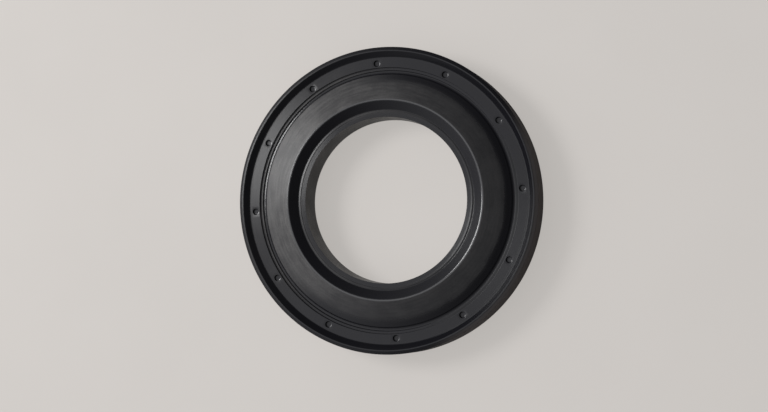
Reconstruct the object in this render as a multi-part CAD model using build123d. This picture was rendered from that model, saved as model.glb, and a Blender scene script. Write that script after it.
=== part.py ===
"""Radial shaft seal for an 80 mm shaft in a 145 mm housing bore, in millimetres.

A rubber body is moulded round the outside of a pressed steel case and carries two lips at its bore: the main lip, loaded
by a garter spring, and a dust lip on the air side. The axis is Z, the oil side rests on z = 0 and the air side is up.
Sections are drawn as (radius, height) and turned round the axis.
"""

import os

from build123d import *

# Overall sizes
housing_diameter = 145.0  # outside of the rubber sleeve
sleeve_width = 17.0  # oil-side face to the rim's crest
hub_rise = 3.0  # hub's crest above the rim's
shaft_diameter = 80.0
main_lip_interference = 1.8  # shaft's diameter less the main lip's free diameter
dust_lip_interference = 1.6  # the same for the dust lip

# Steel case: a cup whose flange is set down one step towards the oil side
case_thickness = 1.6
case_bend_radius = 0.6  # inside of every bend
case_end_height = 1.2  # lower edge of the cup's wall above the oil-side face
case_inner_inset = 2.4  # inner edge of the flange outside the hub's crest

# Rubber over the case
sleeve_thickness = 1.5  # between the cup's wall and the housing
land_cover = 1.2  # over the upper flange
step_cover = 1.2  # over the wall of the case's step
web_cover = 1.3  # over the lower flange, under the foot groove
edge_cover = 0.7  # under the flange's inner edge
edge_lap = 2.6  # how far that rubber reaches outward under the flange

# Sleeve and rim
lead_in_width = 1.0
lead_in_height = 1.8
rim_chamfer_width = 1.6
rim_chamfer_height = 1.1
rim_crest_width = 0.5
rim_bevel_width = 2.65
rim_height = 2.4  # rim's crest above the land

# Land and its dimples, the ledge inside it, and the foot groove between the ledge and the cone
land_width = 4.9
ledge_drop = 1.0
ledge_width = 1.2
ledge_edge_radius = 0.8
groove_depth = 4.8  # land to the bottom of the foot groove
groove_width = 0.6
riser_height = 0.7  # steep start of the cone
riser_width = 0.25
dimple_count = 12
dimple_diameter = 3.0
dimple_depth = 0.9
dimple_floor_chamfer = 0.3
dimple_inset = 7.5  # dimples' centres inside the sleeve's outside

# Hub and dust lip: offsets are outward from the dust lip's edge, drops are down from the hub's crest
hub_crest_offset = 8.1
hub_crest_width = 0.3
hub_slope_width = 4.8
dust_root_drop = 3.2
bead_offset = 2.4
bead_drop = 2.75
bead_radius = 0.35
bead_valley_offset = 1.7
bead_valley_drop = 3.1
dust_lip_drop = 2.75
dust_lip_thickness = 0.55
dust_crease_offset = 1.15
dust_crease_drop = 5.0

# Main lip: offsets are outward from its contact band, heights are above the oil-side face
lip_band_height = 1.6  # lower edge of the band
lip_band_width = 0.8
lip_toe_offset = 1.2
lip_toe_height = 0.4
head_offset = 4.3  # outer face of the lip's head
head_height = 5.0
head_chamfer = 0.8
waist_offset = 3.3
waist_height = 7.2
flex_root_offset = 6.0
flex_root_height = 11.5
flex_root_radius = 1.0
flex_mouth_offset = 8.9

# Garter spring and its groove
spring_coil_diameter = 2.4
spring_height = 3.2  # centre of the coil
spring_inset = 0.7  # centre of the coil inside the head's outer face
spring_clearance = 0.05

# Radii and heights worked out from the sizes above
outer_radius = housing_diameter / 2
band_radius = (shaft_diameter - main_lip_interference) / 2
dust_radius = (shaft_diameter - dust_lip_interference) / 2
hub_radius = dust_radius + hub_crest_offset
seal_width = sleeve_width + hub_rise
crest_outer = outer_radius - rim_chamfer_width
crest_inner = crest_outer - rim_crest_width
land_height = sleeve_width - rim_height
land_outer = crest_inner - rim_bevel_width
land_inner = land_outer - land_width
ledge_inner = land_inner - ledge_width
ledge_height = land_height - ledge_drop
groove_height = land_height - groove_depth
cone_radius = ledge_inner - groove_width - riser_width
dimple_circle_radius = outer_radius - dimple_inset
case_outer = outer_radius - sleeve_thickness
case_top = land_height - land_cover
case_step = ledge_inner + step_cover
case_web_top = groove_height - web_cover
case_inner = hub_radius + case_inner_inset
spring_radius = band_radius + head_offset - spring_inset


def turned(corners):
    """The full turn round Z of a closed section, whose corners are (radius, height) or (radius, height, fillet)."""
    points = [corner[:2] for corner in corners]
    fillets = [corner[2] if len(corner) > 2 else 0 for corner in corners]
    outline = FilletPolyline(*points, radius=fillets, close=True)
    return revolve(make_face(Plane.XZ * outline), Axis.Z)


def case_bonded_side():
    """The side of the case that the rubber covers, from the cup's lower edge to the flange's inner edge."""
    outer_bend = case_bend_radius + case_thickness
    return [
        (case_outer, case_end_height),
        (case_outer, case_top, outer_bend),
        (case_step, case_top, outer_bend),
        (case_step, case_web_top, case_bend_radius),
        (case_inner, case_web_top),
    ]


def case_bare_side():
    """The side of the case that faces the oil, from the flange's inner edge to the cup's lower edge."""
    outer_bend = case_bend_radius + case_thickness
    return [
        (case_inner, case_web_top - case_thickness),
        (case_step + case_thickness, case_web_top - case_thickness, outer_bend),
        (case_step + case_thickness, case_top - case_thickness, case_bend_radius),
        (case_outer - case_thickness, case_top - case_thickness, case_bend_radius),
        (case_outer - case_thickness, case_end_height),
    ]


def sleeve_and_rim():
    """From the sleeve's oil-side end, up its outside and over the rim to the land."""
    return [
        (case_outer - case_thickness, 0),
        (outer_radius - lead_in_width, 0),
        (outer_radius, lead_in_height),
        (outer_radius, sleeve_width - rim_chamfer_height),
        (crest_outer, sleeve_width),
        (crest_inner, sleeve_width),
        (land_outer, land_height),
    ]


def land_and_hub():
    """Across the land and the ledge, through the foot groove, up the cone and down to the root of the dust lip."""
    return [
        (land_inner, land_height),
        (land_inner, ledge_height),
        (ledge_inner, ledge_height, ledge_edge_radius),
        (ledge_inner, groove_height),
        (ledge_inner - groove_width, groove_height),
        (cone_radius, groove_height + riser_height),
        (hub_radius, seal_width),
        (hub_radius - hub_crest_width, seal_width),
        (hub_radius - hub_slope_width, seal_width - dust_root_drop),
    ]


def dust_lip():
    """Over the bead at its root to the dust lip's edge, and back under it to the crease above the main lip."""
    return [
        (dust_radius + bead_offset, seal_width - bead_drop, bead_radius),
        (dust_radius + bead_valley_offset, seal_width - bead_valley_drop),
        (dust_radius, seal_width - dust_lip_drop),
        (dust_radius, seal_width - dust_lip_drop - dust_lip_thickness),
        (dust_radius + dust_crease_offset, seal_width - dust_crease_drop),
    ]


def main_lip():
    """Down to the contact band, round the lip's head and up its flexing waist to the web."""
    head_radius = band_radius + head_offset
    return [
        (band_radius, lip_band_height + lip_band_width),
        (band_radius, lip_band_height),
        (band_radius + lip_toe_offset, lip_toe_height),
        (head_radius - head_chamfer, lip_toe_height),
        (head_radius, lip_toe_height + head_chamfer),
        (head_radius, head_height),
        (band_radius + waist_offset, waist_height),
        (band_radius + flex_root_offset, flex_root_height, flex_root_radius),
        (band_radius + flex_mouth_offset, case_web_top - case_thickness - edge_cover),
    ]


def rubber_lap():
    """The rubber that wraps the inner edge of the flange."""
    underside = case_web_top - case_thickness
    return [
        (case_inner + edge_lap, underside - edge_cover),
        (case_inner + edge_lap, underside),
        (case_inner, underside),
    ]


def mould_pin():
    """The end of a pin that holds the case in the mould and leaves a dimple in the land. Its tip is at the origin."""
    radius = dimple_diameter / 2
    above = dimple_depth + rim_height
    return turned(
        [
            (0, 0),
            (radius - dimple_floor_chamfer, 0),
            (radius, dimple_floor_chamfer),
            (radius, above),
            (0, above),
        ]
    )


def make_case():
    return turned(case_bonded_side() + case_bare_side())


def make_garter_spring():
    return Pos(0, 0, spring_height) * Torus(spring_radius, spring_coil_diameter / 2)


def make_seal_body():
    section = sleeve_and_rim() + land_and_hub() + dust_lip() + main_lip() + rubber_lap()
    section += reversed(case_bonded_side())
    section += [(case_outer - case_thickness, case_end_height)]
    body = turned(section)
    groove = Torus(spring_radius, spring_coil_diameter / 2 + spring_clearance)
    body -= Pos(0, 0, spring_height) * groove
    tip = Pos(0, 0, land_height - dimple_depth) * mould_pin()
    body -= [place * tip for place in PolarLocations(dimple_circle_radius, dimple_count)]
    return body


subparts = {
    "seal_body": make_seal_body(),
    "stiffening_case": make_case(),
    "garter_spring": make_garter_spring(),
}

os.makedirs("parts", exist_ok=True)
for node, shape in subparts.items():
    shape.label = node
    export_step(shape, f"parts/{node}.step")
    print(f"{node}: {shape.volume:.1f} mm3")
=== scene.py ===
"""Looks of the radial shaft seal: finely turned rubber, a wound garter spring, the bare steel case, a pale
floor, soft light from the left and a camera that leans off the seal's axis.

The scene is in metres. The seal's sizes are in millimetres, and its sections are drawn as (radius, height)
and turned round Z. Azimuths run from +X towards +Y, tilts from the vertical, and both are in degrees.
"""

from math import atan2, ceil, cos, degrees, pi, radians, sin, tan

import bpy
import numpy as np
from mathutils import Matrix, Vector


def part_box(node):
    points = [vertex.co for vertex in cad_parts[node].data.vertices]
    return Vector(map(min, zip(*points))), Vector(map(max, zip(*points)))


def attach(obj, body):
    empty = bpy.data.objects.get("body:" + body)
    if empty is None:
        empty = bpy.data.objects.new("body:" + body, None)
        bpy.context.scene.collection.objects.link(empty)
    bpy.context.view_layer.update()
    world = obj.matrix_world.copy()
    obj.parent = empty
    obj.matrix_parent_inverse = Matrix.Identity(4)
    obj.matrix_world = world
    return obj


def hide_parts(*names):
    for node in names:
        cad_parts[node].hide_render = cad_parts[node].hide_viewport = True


MM = 0.001

# Camera
LENS = 79.2  # mm
SENSOR_WIDTH = 36.0
CAMERA_DISTANCE = 0.8
CAMERA_LEAN = 15.0
CAMERA_AZIMUTH = -16.0
PICTURE_RIGHT_AZIMUTH = -4.9  # the direction that runs to the right in the picture
AIM_RIGHT = -0.0023  # from the middle of the seal to the middle of the picture
AIM_UP = -0.0025

# Light
KEY_AZIMUTH = 157.5
KEY_TILT = 44.0
KEY_DISTANCE = 1.0
KEY_SIZE = 0.38
KEY_POWER = 7.8  # watts
SKY_AZIMUTH = 176.0
SKY_TILT = 45.0
SKY_FALLOFF = 2.0
SKY_GLOW = 1.35
SKY_BASE = 0.08
SKY_COLOUR = (0.96, 0.96, 1.0)
SKY_HORIZON = 0.25  # height on the unit sphere below which the glow fades

# Turning
DIVISIONS = 600  # round the axis
ARC_STEP = 26.0  # degrees of a fillet between two points of a section

# Sleeve and rim: a pair is (width, height), and a round is a fillet's radius
LEAD_IN = (1.0, 1.8)
RIM_CHAMFER = (1.6, 1.1)
RIM_CREST_WIDTH = 0.5
RIM_BEVEL = (2.65, 2.4)
SLEEVE_END_ROUND = 0.15
EDGE_ROUND = 0.3
LEAD_IN_ROUND = 0.5
CHAMFER_ROUND = 0.35
BEVEL_FOOT_ROUND = 0.5

# Land, the ledge inside it, and the foot groove between the ledge and the cone
LAND_WIDTH = 4.9
LEDGE_DROP = 1.0
LEDGE_WIDTH = 1.4
GROOVE_DEPTH = 1.8
GROOVE_WIDTH = 1.2
RISER = (0.6, 0.7)  # steep start of the cone
LAND_EDGE_ROUND = 0.2
LEDGE_ROUNDS = (0.15, 0.4)  # its outer corner and its inner edge
GROOVE_ROUNDS = (0.12, 1.5)  # outer and inner corner
RISER_ROUND = 0.2

# Mould-pin dimples in the land, each in a patch of land that has its own mesh
DIMPLE_COUNT = 12
DIMPLE_RADIUS = 1.5
DIMPLE_DEPTH = 1.1
DIMPLE_INSET = 7.5  # dimples' centres inside the sleeve's outside
DIMPLE_LIP = ((0.13, 0), (0.05, -0.02), (0, -0.10))  # (outside the radius, above the land)
DIMPLE_FOOT = ((-0.03, 0.32), (-0.12, 0.10), (-0.34, 0))  # (outside the radius, above the dimple's floor)
PATCH_CELLS = 8  # both round and across the land
PATCH_WIDTH = 3.7  # across the land

# Hub and dust lip: offsets outward from the dust lip's edge, drops down from the hub's crest
DUST_RADIUS = 39.2
HUB_RISE = 3.0  # hub's crest above the rim's
HUB_CREST_OFFSET = 8.1
HUB_CREST = (0.25, 0.55)  # widths outside and inside the crest's radius
HUB_SLOPE = (4.8, 3.2)
BEAD = (2.4, 2.75)
BEAD_VALLEY = (2.1, 3.05)
DUST_LIP_DROP = 3.1
DUST_LIP_THICKNESS = 0.55
DUST_CREASE = (1.15, 5.0)
CREST_ROUND = 1.3
SLOPE_FOOT_ROUND = 0.25
BEAD_ROUND = 0.35
BEAD_VALLEY_ROUND = 0.2
DUST_EDGE_ROUND = 0.1
DUST_CREASE_ROUND = 0.5

# Main lip: offsets outward from its contact band, heights above the floor
BAND_RADIUS = 39.1
BAND_HEIGHT = 1.6
BAND_WIDTH = 0.8
LIP_TOE = (1.2, 0.4)
HEAD_OFFSET = 4.3
HEAD_HEIGHT = 5.0
HEAD_CHAMFER = 0.8
WAIST = (3.3, 7.2)
FLEX_ROOT = (6.0, 11.5)
FLEX_MOUTH_OFFSET = 8.9
BAND_ROUNDS = (0.3, 0.15)  # upper and lower edge
WAIST_ROUND = 1.0
FLEX_MOUTH_ROUND = 0.6

# Steel case and the rubber over it
CASE_THICKNESS = 1.6
CASE_BEND = 0.6  # inside of every bend
SLEEVE_THICKNESS = 1.5
CASE_END_HEIGHT = 1.2
CASE_INNER_INSET = 2.4  # inner edge of the flange outside the hub's crest
LAND_COVER = 1.2
STEP_COVER = 1.4
WEB_DEPTH = 6.1  # land to the flange set down under the cone
EDGE_COVER = 0.7
EDGE_LAP = 2.6
EDGE_LAP_ROUND = 0.25

# Garter spring
SPRING_CLEARANCE = 0.05
WIRE_RADIUS = 0.27
WIRE_SIDES = 6
TURN_STEPS = 16
COIL_TURNS = 450
JOINT_TURNS = 7  # half the length of the joint, where one end is screwed into the other
JOINT_TAPER = 0.12
JOINT_AZIMUTH = 200.0

# Looks. A ramp is (from, to, amount at from, amount at to), or (from, to) where the amounts are 0 and 1.
# A band is (middle radius, half its width, fade beyond it), and a bump is (strength, depth in mm).

# Rubber's looks
RUBBER_BLACK = (0.004, 0.004, 0.0055, 1)
# the bloom's grey, which is also a painted sheen where the bloom thickens on the key light's side
BLOOM_AND_SHEEN_GREY = (0.072, 0.070, 0.068, 1)
# painted highlight along the hub's crest
CREST_HIGHLIGHT_GREY = (0.060, 0.060, 0.061, 1)
# the outer wall's colour: dark on the near side, and on the far side a painted brown reflection of the floor
WALL_DARK = (0.026, 0.023, 0.022, 1)
WALL_PAINTED_REFLECTION = (0.070, 0.057, 0.052, 1)
STREAKS = (5.0, 2.2)  # changes round the axis, and per mm across
STREAK_SHARE = 0.5  # of the mottle, and the patches have the rest
PATCH_SCALE = 0.09  # per mm
GRAIN_SCALE = 1.4
MOTTLE_RAMP = (0.36, 0.64, 0.55, 1.15)
SPECKLE_RAMP = (0.35, 0.65, 0.85, 1.15)
KEY_SIDE_AZIMUTH = 157.0  # the key light's side, where a painted sheen makes the bloom thickest
SHEEN_SIDE_RAMP = (-0.4, 1.0, 0.34, 1.0)  # painted sheen: bloom by the cosine of the angle round from that side
# on the opposite side the wall and chamfer take a painted brown reflection of the floor, and edges are duller
FAR_RAMP = (-0.45, -0.85, 0.0, 0.6)  # what differs on the opposite side, by the same cosine
CONE_SHADE_RAMP = (54.0, 58.3, 0.0, 1.0)  # painted shade: the share of its bloom that the cone loses towards its foot,
FOOT_SHADE_SIDE_RAMP = (1.0, 0.55, 0.0, 1.0)  # times this, by the painted sheen's amount: none on the key light's side
DIMPLE_MARGIN = 0.1  # what is this far inside the land and below it has no bloom
# painted highlight: a band of lighter grey along the hub's crest
CREST_PAINTED_HIGHLIGHT = (47.2, 0.15, 0.4)
BEVEL_POLISH = (69.2, 0.9, 0.2)
BEVEL_POLISH_AMOUNT = 0.6
CHAMFER_FADE = 0.4  # from the rim's crest outward
WALL_FADE = (0.2, 0.02)  # inside the wall's radius
DULL_EDGE_FADE = 0.2
ROUGHNESS_RAMP = (0.0, 0.15, 0.15, 0.34)  # by the bloom
WALL_ROUGHNESS = 0.85
GRAIN_ROUGHNESS = 0.08
GRAIN_BUMP = (0.25, 0.04)

# The rubber's dusty bloom by radius, from the lips outward
BLOOM_BY_RADIUS = (
    (38.0, 0.10),
    (40.8, 0.12),
    (41.3, 0.45),  # bead
    (42.2, 0.45),
    (42.9, 0.02),  # hub's inner slope
    (47.3, 0.02),
    (47.9, 1.0),  # cone
    (49.5, 0.80),
    (55.0, 0.74),
    (59.5, 0.80),
    (59.9, 0.05),  # foot groove
    (61.4, 0.05),
    (61.7, 0.80),  # ledge
    (62.8, 0.40),
    (63.2, 0.22),  # land
    (67.4, 0.22),
    (68.1, 0.06),  # bevel
    (70.2, 0.07),
    (70.6, 0.45),  # rim's crest
    (71.1, 0.05),
    (72.0, 0.02),
)

# Case's looks
PHOSPHATE_DARK = (0.23, 0.23, 0.225, 1)
PHOSPHATE_LIGHT = (0.33, 0.325, 0.315, 1)
CRYSTAL_SCALE = 2.6
CRYSTAL_SHARE = 0.4  # of the tone, and the clouds have the rest
CRYSTAL_BUMP = (0.3, 0.03)
CASE_CLOUD_SCALE = 0.12
CASE_TONE_RAMP = (0.35, 0.65)
DRAW_MARKS = (3.0, 1.6)  # changes round the axis, and per mm across
CASE_ROUGHNESS = (0.25, 0.38)  # what the draw marks add at most, and what they add it to

# Spring's looks
WIRE_BRIGHT = (0.50, 0.49, 0.47, 1)
WIRE_OILY = (0.33, 0.31, 0.28, 1)
STAIN_SCALE = 0.35
STAIN_RAMP = (0.4, 0.7)
WIRE_ROUGHNESS = (0.15, 0.24)  # what the oil adds at most, and what it adds it to

# Floor
FLOOR_DARK = (0.6014, 0.56745, 0.53835, 1)
FLOOR_LIGHT = (0.6386, 0.60255, 0.57165, 1)
FLOOR_TONE = (0.60, 0.573, 0.545, 1)  # what the camera sees of the floor where nothing shades it
FLOOR_GLOW = 0.75  # how much of what the camera sees is that tone
FLOOR_CLOUD_SCALE = 0.012
FLOOR_CLOUD_RAMP = (0.3, 0.7)
FLOOR_SIZE = 40.0

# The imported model, and the sizes that are read off it
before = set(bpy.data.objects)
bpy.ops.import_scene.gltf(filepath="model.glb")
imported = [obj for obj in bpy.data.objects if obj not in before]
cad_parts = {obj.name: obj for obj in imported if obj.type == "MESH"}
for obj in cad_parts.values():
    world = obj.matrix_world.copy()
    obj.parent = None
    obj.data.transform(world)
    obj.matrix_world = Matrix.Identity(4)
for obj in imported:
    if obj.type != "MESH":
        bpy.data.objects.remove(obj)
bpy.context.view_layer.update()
_, seal_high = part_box("seal_body")
spring_low, spring_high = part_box("garter_spring")
seal_radius = seal_high.x / MM
seal_width = seal_high.z / MM
coil_radius = (spring_high.z - spring_low.z) / 2 / MM
spring_height = (spring_high.z + spring_low.z) / 2 / MM
spring_ring = spring_high.x / MM - coil_radius

# Radii and heights worked out from the sizes above
rim_height = seal_width - HUB_RISE
land_height = rim_height - RIM_BEVEL[1]
ledge_height = land_height - LEDGE_DROP
groove_height = land_height - GROOVE_DEPTH
crest_outer = seal_radius - RIM_CHAMFER[0]
crest_inner = crest_outer - RIM_CREST_WIDTH
land_outer = crest_inner - RIM_BEVEL[0]
land_inner = land_outer - LAND_WIDTH
ledge_inner = land_inner - LEDGE_WIDTH
groove_inner = ledge_inner - GROOVE_WIDTH
hub_radius = DUST_RADIUS + HUB_CREST_OFFSET
head_radius = BAND_RADIUS + HEAD_OFFSET
dimple_circle_radius = seal_radius - DIMPLE_INSET
case_outer = seal_radius - SLEEVE_THICKNESS
case_top = land_height - LAND_COVER
case_step = ledge_inner + STEP_COVER
case_inner = hub_radius + CASE_INNER_INSET
web_top = land_height - WEB_DEPTH
web_under = web_top - CASE_THICKNESS

# Edges of the rubber that are dull on the far side, as (middle radius, half their width)
dull_edges = (
    ((land_inner + ledge_inner) / 2, 0.8),
    (land_outer, 0.4),
    ((crest_inner + crest_outer) / 2, 0.35),
)


def heading(azimuth, tilt):
    """The unit direction at an azimuth and a tilt."""
    across = sin(radians(tilt))
    return Vector((across * cos(radians(azimuth)), across * sin(radians(azimuth)), cos(radians(tilt))))


# Meshes


def rounded(corners):
    """The points of a closed section whose corners are (radius, height) or (radius, height, fillet)."""
    points = []
    for i, corner in enumerate(corners):
        here = Vector(corner[:2])
        if len(corner) == 2:
            points.append(here)
            continue
        fillet = corner[2]
        back = (Vector(corners[i - 1][:2]) - here).normalized()
        ahead = (Vector(corners[(i + 1) % len(corners)][:2]) - here).normalized()
        turn = pi - back.angle(ahead)
        reach = fillet * tan(turn / 2)
        centre = here + (back + ahead).normalized() * (fillet / cos(turn / 2))
        start = here + back * reach - centre
        end = here + ahead * reach - centre
        first = atan2(start.y, start.x)
        sweep = (atan2(end.y, end.x) - first + pi) % (2 * pi) - pi
        steps = max(2, ceil(degrees(abs(sweep)) / ARC_STEP))
        for step in range(steps + 1):
            angle = first + sweep * step / steps
            points.append(centre + fillet * Vector((cos(angle), sin(angle))))
    return points


def turned(points):
    """Vertices of a section's points turned round Z, one ring of DIVISIONS after another."""
    angles = np.arange(DIVISIONS) * 2 * pi / DIVISIONS
    radii = np.array([point.x for point in points])[:, None]
    heights = np.array([point.y for point in points])[:, None]
    heights = np.broadcast_to(heights, (len(points), DIVISIONS))
    rings = np.stack([radii * np.cos(angles), radii * np.sin(angles), heights], -1)
    return rings.reshape(-1, 3)


def piece_from(name, vertices, faces):
    """A smooth-shaded object from vertices in millimetres, whose large faces keep their own slope."""
    mesh = bpy.data.meshes.new(name)
    mesh.from_pydata((np.asarray(vertices) * MM).tolist(), [], faces)
    mesh.polygons.foreach_set("use_smooth", [True] * len(mesh.polygons))
    piece = bpy.data.objects.new(name, mesh)
    bpy.context.scene.collection.objects.link(piece)
    normals = piece.modifiers.new("normals", "WEIGHTED_NORMAL")
    normals.keep_sharp = True
    return piece


# The rubber's section, in the order of its corners


def sleeve_and_rim():
    """From the sleeve's end on the floor, up its outside and over the rim to the land."""
    return [
        (case_outer - CASE_THICKNESS, 0, SLEEVE_END_ROUND),
        (seal_radius - LEAD_IN[0], 0, EDGE_ROUND),
        (seal_radius, LEAD_IN[1], LEAD_IN_ROUND),
        (seal_radius, rim_height - RIM_CHAMFER[1], CHAMFER_ROUND),
        (crest_outer, rim_height, EDGE_ROUND),
        (crest_inner, rim_height, EDGE_ROUND),
        (land_outer, land_height, BEVEL_FOOT_ROUND),
    ]


def dimple_rings():
    """Across the middle of the land, where the dimples' patches are."""
    across = np.linspace(0.5, -0.5, PATCH_CELLS + 1) * PATCH_WIDTH
    return [(dimple_circle_radius + shift, land_height) for shift in across]


def ledge_and_hub():
    """Over the ledge, through the foot groove, up the cone and down to the root of the dust lip."""
    return [
        (land_inner, land_height, LAND_EDGE_ROUND),
        (land_inner, ledge_height, LEDGE_ROUNDS[0]),
        (ledge_inner, ledge_height, LEDGE_ROUNDS[1]),
        (ledge_inner, groove_height, GROOVE_ROUNDS[0]),
        (groove_inner, groove_height, GROOVE_ROUNDS[1]),
        (groove_inner - RISER[0], groove_height + RISER[1], RISER_ROUND),
        (hub_radius + HUB_CREST[0], seal_width, CREST_ROUND),
        (hub_radius - HUB_CREST[1], seal_width, CREST_ROUND),
        (hub_radius - HUB_SLOPE[0], seal_width - HUB_SLOPE[1], SLOPE_FOOT_ROUND),
    ]


def dust_lip():
    """Over the bead to the dust lip's edge, and back under it to the crease above the main lip."""
    lip_top = seal_width - DUST_LIP_DROP
    return [
        (DUST_RADIUS + BEAD[0], seal_width - BEAD[1], BEAD_ROUND),
        (DUST_RADIUS + BEAD_VALLEY[0], seal_width - BEAD_VALLEY[1], BEAD_VALLEY_ROUND),
        (DUST_RADIUS, lip_top, DUST_EDGE_ROUND),
        (DUST_RADIUS, lip_top - DUST_LIP_THICKNESS, DUST_EDGE_ROUND),
        (DUST_RADIUS + DUST_CREASE[0], seal_width - DUST_CREASE[1], DUST_CREASE_ROUND),
    ]


def main_lip_head():
    """Down to the contact band and round the lip's head, as far as the spring's groove."""
    return [
        (BAND_RADIUS, BAND_HEIGHT + BAND_WIDTH, BAND_ROUNDS[0]),
        (BAND_RADIUS, BAND_HEIGHT, BAND_ROUNDS[1]),
        (BAND_RADIUS + LIP_TOE[0], LIP_TOE[1], EDGE_ROUND),
        (head_radius - HEAD_CHAMFER, LIP_TOE[1], EDGE_ROUND),
        (head_radius, LIP_TOE[1] + HEAD_CHAMFER, EDGE_ROUND),
    ]


def spring_groove():
    """The garter spring's groove, from its lower to its upper edge in the outer face of the lip's head."""
    radius = coil_radius + SPRING_CLEARANCE
    inset = head_radius - spring_ring
    reach = atan2((radius**2 - inset**2) ** 0.5, inset)
    sweep = 2 * pi - 2 * reach
    steps = ceil(degrees(sweep) / ARC_STEP)
    angles = [-reach - sweep * step / steps for step in range(steps + 1)]
    return [(spring_ring + radius * cos(angle), spring_height + radius * sin(angle)) for angle in angles]


def main_lip_waist():
    """From the top of the head up the lip's flexing waist to the flange, and out along it."""
    lap_radius = case_inner + EDGE_LAP
    lap_height = web_under - EDGE_COVER
    return [
        (head_radius, HEAD_HEIGHT, EDGE_ROUND),
        (BAND_RADIUS + WAIST[0], WAIST[1], WAIST_ROUND),
        (BAND_RADIUS + FLEX_ROOT[0], FLEX_ROOT[1], WAIST_ROUND),
        (BAND_RADIUS + FLEX_MOUTH_OFFSET, lap_height, FLEX_MOUTH_ROUND),
        (lap_radius, lap_height, EDGE_LAP_ROUND),
        (lap_radius, web_under),
    ]


def bonded_side():
    """Along the steel case, from the flange's inner edge to the cup's lower edge."""
    outer_bend = CASE_BEND + CASE_THICKNESS
    return [
        (case_inner, web_under),
        (case_inner, web_top),
        (case_step, web_top, CASE_BEND),
        (case_step, case_top, outer_bend),
        (case_outer, case_top, outer_bend),
        (case_outer, CASE_END_HEIGHT),
        (case_outer - CASE_THICKNESS, CASE_END_HEIGHT),
    ]


def rubber_section():
    """The points of the rubber's whole section, and the place among them of the dimples' first ring."""
    corners = sleeve_and_rim() + dimple_rings() + ledge_and_hub() + dust_lip()
    corners += main_lip_head() + spring_groove() + main_lip_waist() + bonded_side()
    points = rounded(corners)
    first = Vector(dimple_rings()[0])
    return points, min(range(len(points)), key=lambda i: (points[i] - first).length)


def ring_faces(ring_count, patch_ring):
    """Faces between a section's rings of vertices, all the way round but for the dimples' patches."""
    spacing = DIVISIONS // DIMPLE_COUNT
    faces = []
    for i in range(ring_count):
        here = i * DIVISIONS
        after = (i + 1) % ring_count * DIVISIONS
        in_patch = patch_ring <= i < patch_ring + PATCH_CELLS
        for j in range(DIVISIONS):
            if in_patch and (j + PATCH_CELLS // 2) % spacing < PATCH_CELLS:
                continue
            k = (j + 1) % DIVISIONS
            faces.append((here + j, here + k, after + k, after + j))
    return faces


def patch_border(patch_ring, first_column):
    """The vertices round a dimple's patch, in order."""
    cells = PATCH_CELLS
    border = [(0, c) for c in range(cells)]
    border += [(r, cells) for r in range(cells)]
    border += [(cells, cells - c) for c in range(cells)]
    border += [(cells - r, 0) for r in range(cells)]
    return [(patch_ring + row) * DIVISIONS + (first_column + column) % DIVISIONS for row, column in border]


def add_dimple(vertices, faces, border, centre):
    """Adds a blind dimple with a rounded lip, joined to the vertices round its patch."""
    section = [(DIMPLE_RADIUS + outside, above) for outside, above in DIMPLE_LIP]
    section += [(DIMPLE_RADIUS + outside, above - DIMPLE_DEPTH) for outside, above in DIMPLE_FOOT]
    section += [(DIMPLE_RADIUS / 2, -DIMPLE_DEPTH)]
    angles = [atan2(vertices[i][1] - centre[1], vertices[i][0] - centre[0]) for i in border]
    ring = border
    for radius, height in section:
        first = len(vertices)
        for angle in angles:
            place = (radius * cos(angle), radius * sin(angle), height)
            vertices.append([c + p for c, p in zip(centre, place)])
        inner = list(range(first, first + len(border)))
        for k in range(len(border)):
            after = (k + 1) % len(border)
            faces.append((ring[k], ring[after], inner[after], inner[k]))
        ring = inner
    middle = len(vertices)
    vertices.append([centre[0], centre[1], centre[2] - DIMPLE_DEPTH])
    for k in range(len(ring)):
        faces.append((ring[k], ring[(k + 1) % len(ring)], middle))


def make_rubber():
    points, patch_ring = rubber_section()
    vertices = turned(points).tolist()
    faces = ring_faces(len(points), patch_ring)
    for n in range(DIMPLE_COUNT):
        angle = 2 * pi * n / DIMPLE_COUNT
        centre = (dimple_circle_radius * cos(angle), dimple_circle_radius * sin(angle), land_height)
        first_column = n * DIVISIONS // DIMPLE_COUNT - PATCH_CELLS // 2
        add_dimple(vertices, faces, patch_border(patch_ring, first_column), centre)
    piece = piece_from("moulded_rubber", vertices, faces)
    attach(piece, "root")
    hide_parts("seal_body")
    return piece


def make_spring():
    """A closely wound coil bent into a ring. One end is tapered and screwed into the other."""
    steps = COIL_TURNS * TURN_STEPS
    turn = np.arange(steps) / TURN_STEPS
    joint_turn = COIL_TURNS * JOINT_AZIMUTH / 360
    taper = JOINT_TAPER * np.exp(-(((turn - joint_turn) / JOINT_TURNS) ** 4))
    coil = coil_radius - WIRE_RADIUS - taper
    ring_angle = 2 * pi * turn / COIL_TURNS
    coil_angle = 2 * pi * turn
    outward = np.stack([np.cos(ring_angle), np.sin(ring_angle), np.zeros(steps)], -1)
    upward = np.array([0.0, 0.0, 1.0])
    arm = np.cos(coil_angle)[:, None] * outward + np.sin(coil_angle)[:, None] * upward
    line = spring_ring * outward + coil[:, None] * arm + spring_height * upward
    along = np.roll(line, -1, 0) - np.roll(line, 1, 0)
    along /= np.linalg.norm(along, axis=1)[:, None]
    side = np.cross(along, arm)
    vertices = []
    for k in range(WIRE_SIDES):
        angle = 2 * pi * k / WIRE_SIDES
        vertices.append(line + WIRE_RADIUS * (cos(angle) * arm + sin(angle) * side))
    vertices = np.stack(vertices, 1).reshape(-1, 3)
    faces = []
    for i in range(steps):
        here = i * WIRE_SIDES
        after = (i + 1) % steps * WIRE_SIDES
        for k in range(WIRE_SIDES):
            m = (k + 1) % WIRE_SIDES
            faces.append((here + k, after + k, after + m, here + m))
    piece = piece_from("wound_garter_spring", vertices, faces)
    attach(piece, "root")
    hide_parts("garter_spring")
    return piece


# Shader nodes


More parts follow.
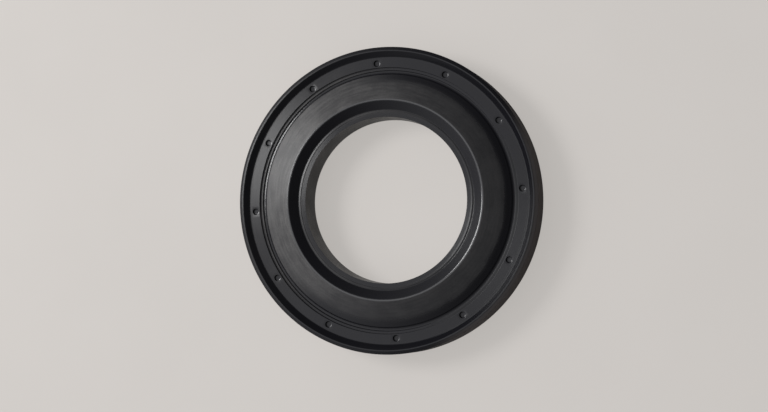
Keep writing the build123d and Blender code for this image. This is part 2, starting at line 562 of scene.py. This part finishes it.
def put(tree, kind, inputs, output=0, **settings):
    """Adds a node, sets or links its inputs, and returns one of its outputs."""
    node = tree.nodes.new(kind)
    for name, value in settings.items():
        setattr(node, name, value)
    for name, value in inputs.items():
        if isinstance(value, bpy.types.NodeSocket):
            tree.links.new(value, node.inputs[name])
        else:
            node.inputs[name].default_value = value
    return node.outputs[output]


def maths(tree, operation, a, b=0.0, c=0.0):
    return put(tree, "ShaderNodeMath", {0: a, 1: b, 2: c}, operation=operation)


def dot(tree, a, b):
    return put(tree, "ShaderNodeVectorMath", {0: a, 1: b}, output=1, operation="DOT_PRODUCT")


def product(tree, first, *others):
    for other in others:
        first = maths(tree, "MULTIPLY", first, other)
    return first


def less(tree, value, share):
    """value less a share of it."""
    return maths(tree, "MULTIPLY", value, maths(tree, "SUBTRACT", 1.0, share))


def between(tree, value, low, high, to_low=0.0, to_high=1.0):
    """value's way from low to high, eased, as a number from to_low to to_high."""
    inputs = {"Value": value, "From Min": low, "From Max": high, "To Min": to_low, "To Max": to_high}
    return put(tree, "ShaderNodeMapRange", inputs, interpolation_type="SMOOTHSTEP")


def in_band(tree, value, middle, half_width, fade):
    """1 in a band of values and 0 outside it, with a soft edge."""
    away = maths(tree, "ABSOLUTE", maths(tree, "SUBTRACT", value, middle))
    return between(tree, away, half_width + fade, half_width)


def mixed(tree, factor, a, b):
    inputs = {"Factor": factor, 6: a, 7: b}
    return put(tree, "ShaderNodeMix", inputs, output=2, data_type="RGBA")


def noise(tree, place, scale, detail=3.0, roughness=0.55):
    inputs = {"Vector": place, "Scale": scale, "Detail": detail, "Roughness": roughness}
    return put(tree, "ShaderNodeTexNoise", inputs)


def round_the_axis(tree, place, radius, turns, across):
    """Noise coordinates that stretch a pattern round the axis: turns sets how often it changes round it, and
    across how often it changes with the radius and the height."""
    scale = maths(tree, "DIVIDE", turns, radius)
    circle = put(tree, "ShaderNodeVectorMath", {0: place, "Scale": scale}, operation="SCALE")
    circle = put(tree, "ShaderNodeSeparateXYZ", {"Vector": circle}).node
    height = put(tree, "ShaderNodeSeparateXYZ", {"Vector": place}, output=2)
    depth = maths(tree, "MULTIPLY", maths(tree, "ADD", radius, height), across)
    return put(tree, "ShaderNodeCombineXYZ", {"X": circle.outputs[0], "Y": circle.outputs[1], "Z": depth})


def roughen(tree, shader, height, strength, depth):
    bump = {"Height": height, "Strength": strength, "Distance": depth * MM}
    tree.links.new(put(tree, "ShaderNodeBump", bump), shader.inputs["Normal"])


# Materials


def new_material(name):
    """A material, its tree, its Principled shader, and the place in millimetres and the radius of a point."""
    material = bpy.data.materials.new(name)
    material.use_nodes = True
    tree = material.node_tree
    shader = tree.nodes["Principled BSDF"]
    place = put(tree, "ShaderNodeTexCoord", {}, output=3)
    place = put(tree, "ShaderNodeVectorMath", {0: place, "Scale": 1 / MM}, operation="SCALE")
    flat = put(tree, "ShaderNodeVectorMath", {0: place, 1: (1, 1, 0)}, operation="MULTIPLY")
    radius = put(tree, "ShaderNodeVectorMath", {0: flat}, output=1, operation="LENGTH")
    return material, tree, shader, place, radius


def bloom_ramp(tree, radius):
    """BLOOM_BY_RADIUS at a radius."""
    low, high = BLOOM_BY_RADIUS[0][0], BLOOM_BY_RADIUS[-1][0]
    way = put(tree, "ShaderNodeMapRange", {"Value": radius, "From Min": low, "From Max": high})
    ramp = tree.nodes.new("ShaderNodeValToRGB")
    tree.links.new(way, ramp.inputs[0])
    stops = ramp.color_ramp.elements
    while len(stops) < len(BLOOM_BY_RADIUS):
        stops.new(0.5)
    for stop, (at, amount) in zip(stops, BLOOM_BY_RADIUS):
        stop.position = (at - low) / (high - low)
        stop.color = (amount, amount, amount, 1)
    return ramp.outputs[0]


def rubber_bloom_and_painted_light(tree, place, radius, round_from_key_side, grain):
    """How thickly the bloom lies: in streaks and patches, none in the dimples. It carries painted light too:
    a painted sheen makes it thickest on the key light's side, and painted shade thins it towards the cone's
    foot on the far side.
    """
    streaks = noise(tree, round_the_axis(tree, place, radius, *STREAKS), 1.0, detail=4.0)
    patches = noise(tree, place, PATCH_SCALE, detail=4.0, roughness=0.6)
    mottle = maths(tree, "MULTIPLY", patches, 1 - STREAK_SHARE)
    mottle = maths(tree, "MULTIPLY_ADD", streaks, STREAK_SHARE, mottle)
    mottle = between(tree, mottle, *MOTTLE_RAMP)
    speckle = between(tree, grain, *SPECKLE_RAMP)
    # painted sheen: the bloom thickens on the key light's side
    side = between(tree, round_from_key_side, *SHEEN_SIDE_RAMP)
    # painted shade: the bloom thins towards the cone's foot on the far side
    painted_foot_shade = product(
        tree, between(tree, radius, *CONE_SHADE_RAMP), between(tree, side, *FOOT_SHADE_SIDE_RAMP)
    )
    height = put(tree, "ShaderNodeSeparateXYZ", {"Vector": place}, output=2)
    in_dimple = product(
        tree,
        maths(tree, "GREATER_THAN", radius, land_inner + DIMPLE_MARGIN),
        maths(tree, "LESS_THAN", height, land_height - DIMPLE_MARGIN),
    )
    side = less(tree, less(tree, side, painted_foot_shade), in_dimple)
    return product(tree, bloom_ramp(tree, radius), mottle, side, speckle)


def rubber_wall(tree, radius, far_side):
    """1 on the outer wall, and as much as far_side on the rim's chamfer, which there takes the wall's colour,
    with its painted floor reflection, and its roughness.
    """
    chamfer = product(tree, between(tree, radius, crest_outer, crest_outer + CHAMFER_FADE), far_side)
    wall = between(tree, radius, seal_radius - WALL_FADE[0], seal_radius - WALL_FADE[1])
    return maths(tree, "MAXIMUM", wall, chamfer)


def rubber_colour(tree, radius, bloom_and_painted_light, wall, far_side):
    # the bloom, with its painted sheen and painted shade, greys the black
    colour = mixed(tree, bloom_and_painted_light, RUBBER_BLACK, BLOOM_AND_SHEEN_GREY)
    # painted highlight along the hub's crest
    colour = mixed(tree, in_band(tree, radius, *CREST_PAINTED_HIGHLIGHT), colour, CREST_HIGHLIGHT_GREY)
    # the wall, and the far side's chamfer: dark, with a painted brown reflection of the floor on the far side
    return mixed(tree, wall, colour, mixed(tree, far_side, WALL_DARK, WALL_PAINTED_REFLECTION))


def rubber_roughness(tree, radius, grain, bloom_and_painted_light, wall, far_side):
    roughness = between(tree, bloom_and_painted_light, *ROUGHNESS_RAMP)
    roughness = maths(tree, "MAXIMUM", roughness, product(tree, wall, WALL_ROUGHNESS))
    polish = product(tree, in_band(tree, radius, *BEVEL_POLISH), BEVEL_POLISH_AMOUNT)
    roughness = less(tree, roughness, polish)
    for middle, half_width in dull_edges:
        dull = product(tree, in_band(tree, radius, middle, half_width, DULL_EDGE_FADE), far_side)
        roughness = maths(tree, "MAXIMUM", roughness, dull)
    return maths(tree, "MULTIPLY_ADD", grain, GRAIN_ROUGHNESS, roughness)


def rubber_material():
    """Black rubber, finely marked round the axis: satin where the mould is polished, dusty with bloom. It has
    a painted sheen on the key light's side, painted shade at the cone's foot on the far side, and a painted
    brown reflection of the floor on the far side's wall and chamfer.
    """
    material, tree, shader, place, radius = new_material("black_rubber")
    grain = noise(tree, place, GRAIN_SCALE, detail=5.0, roughness=0.65)
    # cosine of the angle round from the key light's side, for the painted sheen, shade and floor reflection
    round_from_key_side = maths(tree, "DIVIDE", dot(tree, place, heading(KEY_SIDE_AZIMUTH, 90)), radius)
    far_side = between(tree, round_from_key_side, *FAR_RAMP)
    bloom_and_painted_light = rubber_bloom_and_painted_light(tree, place, radius, round_from_key_side, grain)
    wall = rubber_wall(tree, radius, far_side)
    tree.links.new(rubber_colour(tree, radius, bloom_and_painted_light, wall, far_side), shader.inputs["Base Color"])
    roughness = rubber_roughness(tree, radius, grain, bloom_and_painted_light, wall, far_side)
    tree.links.new(roughness, shader.inputs["Roughness"])
    shader.inputs["Specular IOR Level"].default_value = 0.4
    shader.inputs["Anisotropic"].default_value = 0.9
    shader.inputs["Anisotropic Rotation"].default_value = 0.25
    around = put(tree, "ShaderNodeTangent", {}, direction_type="RADIAL", axis="Z")
    tree.links.new(around, shader.inputs["Tangent"])
    roughen(tree, shader, grain, *GRAIN_BUMP)
    return material


def case_material():
    """Pressed steel with a dull grey phosphate coat."""
    material, tree, shader, place, radius = new_material("phosphated_steel")
    crystals = noise(tree, place, CRYSTAL_SCALE, detail=6.0, roughness=0.7)
    clouds = noise(tree, place, CASE_CLOUD_SCALE)
    rings = noise(tree, round_the_axis(tree, place, radius, *DRAW_MARKS), 1.0)
    tone = maths(tree, "MULTIPLY", clouds, 1 - CRYSTAL_SHARE)
    tone = maths(tree, "MULTIPLY_ADD", crystals, CRYSTAL_SHARE, tone)
    tone = between(tree, tone, *CASE_TONE_RAMP)
    tree.links.new(mixed(tree, tone, PHOSPHATE_DARK, PHOSPHATE_LIGHT), shader.inputs["Base Color"])
    tree.links.new(maths(tree, "MULTIPLY_ADD", rings, *CASE_ROUGHNESS), shader.inputs["Roughness"])
    shader.inputs["Metallic"].default_value = 0.75
    roughen(tree, shader, crystals, *CRYSTAL_BUMP)
    return material


def spring_material():
    """Bright drawn wire, dulled a little by oil."""
    material, tree, shader, place, _ = new_material("spring_wire")
    stain = between(tree, noise(tree, place, STAIN_SCALE), *STAIN_RAMP)
    tree.links.new(mixed(tree, stain, WIRE_BRIGHT, WIRE_OILY), shader.inputs["Base Color"])
    tree.links.new(maths(tree, "MULTIPLY_ADD", stain, *WIRE_ROUGHNESS), shader.inputs["Roughness"])
    shader.inputs["Metallic"].default_value = 1.0
    return material


def floor_material():
    """Plain pale paint with a very faint unevenness. Where it is seen or mirrored, FLOOR_GLOW of it is an
    even tone that takes no shadow."""
    material, tree, shader, place, _ = new_material("pale_floor")
    clouds = between(tree, noise(tree, place, FLOOR_CLOUD_SCALE, detail=4.0), *FLOOR_CLOUD_RAMP)
    tree.links.new(mixed(tree, clouds, FLOOR_DARK, FLOOR_LIGHT), shader.inputs["Base Color"])
    shader.inputs["Roughness"].default_value = 0.75
    shader.inputs["Specular IOR Level"].default_value = 0.2
    rays = put(tree, "ShaderNodeLightPath", {}).node
    seen = maths(tree, "ADD", rays.outputs["Is Camera Ray"], rays.outputs["Is Glossy Ray"])
    seen = maths(tree, "ADD", seen, rays.outputs["Is Transmission Ray"])
    seen = maths(tree, "MULTIPLY", maths(tree, "MINIMUM", seen, 1.0), FLOOR_GLOW)
    glow = put(tree, "ShaderNodeEmission", {"Color": FLOOR_TONE})
    paint = put(tree, "ShaderNodeMixShader", {0: seen, 1: shader.outputs[0], 2: glow})
    tree.links.new(paint, tree.nodes["Material Output"].inputs["Surface"])
    return material


def dress(piece, material):
    piece.data.materials.clear()
    piece.data.materials.append(material)


# Stage


def make_floor():
    half = FLOOR_SIZE / 2
    mesh = bpy.data.meshes.new("floor")
    corners = [(-half, -half, 0), (half, -half, 0), (half, half, 0), (-half, half, 0)]
    mesh.from_pydata(corners, [], [(0, 1, 2, 3)])
    floor = bpy.data.objects.new("floor", mesh)
    bpy.context.scene.collection.objects.link(floor)
    return floor


def light_the_sky():
    """A soft glow on the key light's side that fades to a dim sky on the other side."""
    world = bpy.data.worlds.new("sky")
    bpy.context.scene.world = world
    world.use_nodes = True
    tree = world.node_tree
    background = tree.nodes["Background"]
    background.inputs["Color"].default_value = (*SKY_COLOUR, 1)
    way = put(tree, "ShaderNodeTexCoord", {})
    towards = dot(tree, way, heading(SKY_AZIMUTH, SKY_TILT))
    towards = maths(tree, "POWER", maths(tree, "MAXIMUM", towards, 0.0), SKY_FALLOFF)
    height = put(tree, "ShaderNodeSeparateXYZ", {"Vector": way}, output=2)
    towards = maths(tree, "MULTIPLY", towards, between(tree, height, 0.0, SKY_HORIZON))
    strength = maths(tree, "MULTIPLY_ADD", towards, SKY_GLOW, SKY_BASE)
    tree.links.new(strength, background.inputs["Strength"])


def light_the_key():
    lamp = bpy.data.lights.new("key", "AREA")
    lamp.shape = "DISK"
    lamp.size = KEY_SIZE
    lamp.energy = KEY_POWER
    key = bpy.data.objects.new("key", lamp)
    bpy.context.scene.collection.objects.link(key)
    way = heading(KEY_AZIMUTH, KEY_TILT)
    key.location = KEY_DISTANCE * way
    key.rotation_euler = way.to_track_quat("Z", "Y").to_euler()


def place_camera(middle):
    """Leans the camera off the axis, with the seal where it lies in the picture."""
    back = heading(CAMERA_AZIMUTH, CAMERA_LEAN)
    up = back.cross(heading(PICTURE_RIGHT_AZIMUTH, 90)).normalized()
    right = up.cross(back)
    lens = bpy.data.cameras.new("camera")
    lens.sensor_width = SENSOR_WIDTH
    lens.lens = LENS
    camera = bpy.data.objects.new("camera", lens)
    bpy.context.scene.collection.objects.link(camera)
    place = middle + AIM_RIGHT * right + AIM_UP * up + CAMERA_DISTANCE * back
    turn = Matrix((right, up, back)).transposed().to_4x4()
    camera.matrix_world = Matrix.Translation(place) @ turn
    bpy.context.scene.camera = camera


dress(make_rubber(), rubber_material())
dress(make_spring(), spring_material())
dress(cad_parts["stiffening_case"], case_material())
dress(make_floor(), floor_material())
light_the_sky()
light_the_key()
place_camera(Vector((0, 0, seal_width * MM / 2)))
bpy.context.scene.view_settings.view_transform = "Standard"
